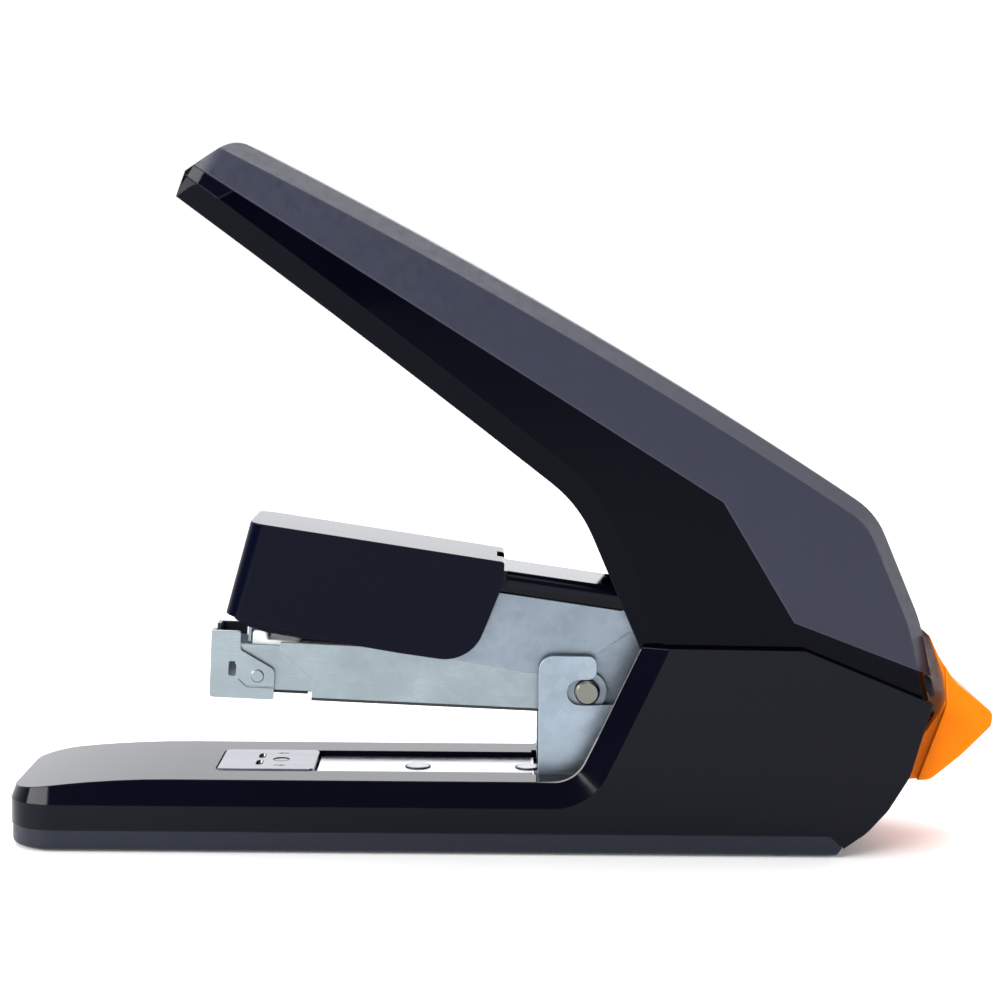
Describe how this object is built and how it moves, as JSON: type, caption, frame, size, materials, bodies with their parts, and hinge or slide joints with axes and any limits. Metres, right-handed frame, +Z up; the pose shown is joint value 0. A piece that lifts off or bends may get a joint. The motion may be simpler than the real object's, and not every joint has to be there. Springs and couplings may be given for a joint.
{
  "type": "long reach stapler",
  "caption": "Desktop long reach stapler: power-linked press handle, slim striker arm, front-loading magazine with popped-out drawer, steel anvil and a rear release lever.",
  "frame": {"origin": "centre of the bounding box in plan, on the surface the stapler stands on", "axes": "+X from the nose to the rear, +Y to the stapler's left seen from the rear, +Z up; the handle is raised and the staple drawer popped out at rest"},
  "size_m": [0.2538, 0.05, 0.1805],
  "materials": {
    "gloss_black": "high gloss black",
    "matte_charcoal": "fine-textured charcoal",
    "tray_grey": "fine-textured dark grey",
    "orange": "satin orange",
    "white_plastic": "white, slightly translucent look",
    "black_plastic": "black",
    "nickel_steel": "bright nickel plated",
    "zinc_steel": "blue-grey zinc plated",
    "pin_steel": "turned steel, slightly warm",
    "spring_steel": "spring steel",
    "black_steel": "blackened steel",
    "rubber": "black rubber"
  },
  "bodies": {
    "base": {"housing": "gloss_black", "base_tray": "tray_grey", "rubber_feet": "rubber", "housing_screws": "pin_steel", "base_plate": "nickel_steel", "frame_bracket": "zinc_steel", "base_rivets": "nickel_steel", "head_pivot_pin": "pin_steel", "pivot_spacers": "zinc_steel", "handle_axle": "pin_steel", "axle_clips": "spring_steel", "axle_sleeve": "white_plastic", "handle_spring": "spring_steel", "lever_pin": "pin_steel", "lever_spring": "spring_steel", "magazine_spring": "spring_steel", "anvil_spring": "spring_steel"},
    "anvil": {"anvil_plate": "nickel_steel", "anvil_stud": "nickel_steel", "anvil_retainer": "spring_steel"},
    "handle": {"handle_cover": "matte_charcoal", "handle_skirt": "gloss_black", "handle_nose_cap": "gloss_black", "handle_bracket": "zinc_steel", "bracket_screws": "pin_steel", "crank_pin": "pin_steel"},
    "link": {"drive_links": "zinc_steel", "crank_sleeve": "white_plastic"},
    "arm": {"striker_arm": "zinc_steel", "head_cover": "gloss_black", "spine_cover": "gloss_black", "blade_hook": "zinc_steel", "horn_pin": "pin_steel"},
    "magazine": {"magazine_channel": "nickel_steel", "magazine_liner": "black_plastic", "pivot_sleeve": "white_plastic", "staple_core": "black_steel", "pusher_rod": "pin_steel"},
    "driver": {"driver_blade": "zinc_steel"},
    "drawer": {"front_guard": "nickel_steel", "drawer_rails": "zinc_steel"},
    "pusher": {"pusher": "white_plastic", "pusher_spring": "spring_steel"},
    "lever": {"release_lever": "orange"},
    "rod": {"release_rod": "zinc_steel"}
  },
  "joints": [
    {"name": "handle_press", "type": "hinge", "parent": "base", "child": "handle", "pos_m": [0.088, 0, 0.04], "axis": [0, -1, 0], "range_deg": [0, 28], "stiffness_Nm_per_rad": 2, "springref_deg": -17.19},
    {"name": "arm_pivot", "type": "hinge", "parent": "base", "child": "arm", "pos_m": [0.023, 0, 0.0405], "axis": [0, -1, 0], "range_deg": [0, 20.2]},
    {"name": "magazine_pivot", "type": "hinge", "parent": "base", "child": "magazine", "pos_m": [0.023, 0, 0.0405], "axis": [0, -1, 0], "range_deg": [0, 10.6], "deforming": ["magazine_spring"]},
    {"name": "link_pivot", "type": "hinge", "parent": "handle", "child": "link", "pos_m": [0.09875, 0, 0.05862], "axis": [0, -1, 0], "range_deg": [-30, 0]},
    {"name": "driver_slide", "type": "slide", "parent": "magazine", "child": "driver", "axis": [-0.0401, 0, -0.9992], "range_m": [0, 0.0146]},
    {"name": "drawer_slide", "type": "slide", "parent": "magazine", "child": "drawer", "axis": [0.9992, 0, -0.0401], "range_m": [-0.06, 0.0072]},
    {"name": "pusher_slide", "type": "slide", "parent": "magazine", "child": "pusher", "axis": [0.9992, 0, -0.0401], "range_m": [0, 0.055], "stiffness_N_per_m": 20, "springref_m": -0.04, "deforming": ["pusher_spring"]},
    {"name": "anvil_lift", "type": "slide", "parent": "base", "child": "anvil", "axis": [0, 0, -1], "range_m": [-0.0035, 0], "stiffness_N_per_m": 300, "springref_m": 0.006, "deforming": ["anvil_spring"]},
    {"name": "release_lever_press", "type": "hinge", "parent": "base", "child": "lever", "pos_m": [0.103, 0, 0.024], "axis": [0, 1, 0], "range_deg": [0, 9], "stiffness_Nm_per_rad": 0.15, "springref_deg": -17.19},
    {"name": "release_rod_slide", "type": "slide", "parent": "base", "child": "rod", "axis": [-1, 0, 0], "range_m": [0, 0.00095]}
  ],
  "couplings": [
    {"joint": "arm_pivot", "follows": "handle_press", "ratio": 0.71429},
    {"joint": "magazine_pivot", "follows": "handle_press", "ratio": 0.375},
    {"joint": "link_pivot", "follows": "handle_press", "ratio": -1.031},
    {"joint": "driver_slide", "follows": "handle_press", "m_per_rad": 0.029671},
    {"joint": "release_rod_slide", "follows": "release_lever_press", "m_per_rad": 0.00573}
  ]
}
